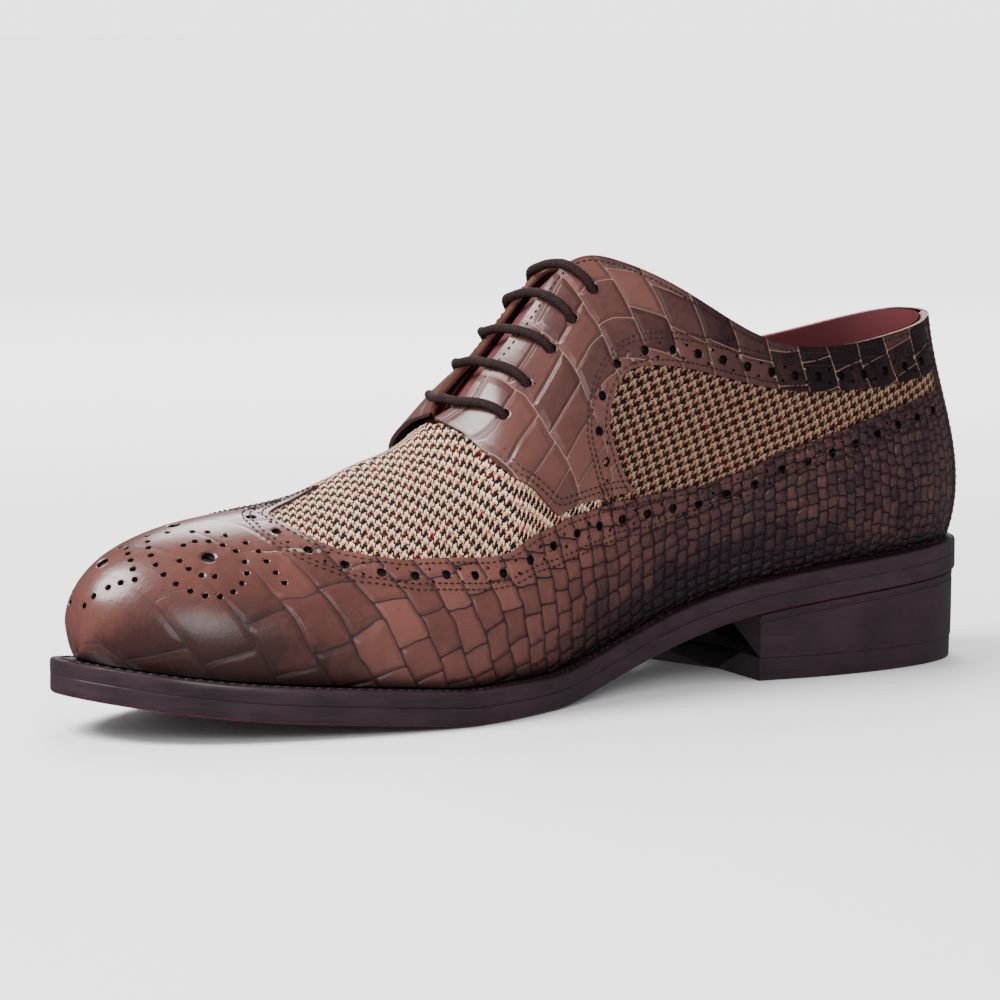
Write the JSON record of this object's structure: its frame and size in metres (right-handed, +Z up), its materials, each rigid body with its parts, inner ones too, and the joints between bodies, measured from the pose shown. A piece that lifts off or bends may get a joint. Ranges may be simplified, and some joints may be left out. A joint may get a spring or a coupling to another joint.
{
  "type": "longwing brogue shoe",
  "caption": "Right men's longwing brogue, EU 42: croc-embossed brown leather over checked tweed, five lace bars, welted leather sole and stacked heel.",
  "frame": {"origin": "centre of the bounding box in plan, on the floor under the sole", "axes": "+X towards the heel (the toe points to -X), +Y towards the lateral side (the inner side of the foot faces -Y), +Z up"},
  "size_m": [0.305, 0.1014, 0.124],
  "materials": {
    "sole_leather": "polished",
    "upper_leather": "embossed, polished",
    "heel_rubber": "matte",
    "lining_leather": "smooth",
    "lace_cotton": "waxed"
  },
  "bodies": {
    "root": {"outsole": "sole_leather", "welt": "sole_leather", "heel_stack": "sole_leather", "top_lift": "sole_leather", "heel_rubber": "heel_rubber", "insole": "lining_leather", "upper": "upper_leather", "tongue": "lining_leather", "lace": "lace_cotton"}
  },
  "joints": []
}
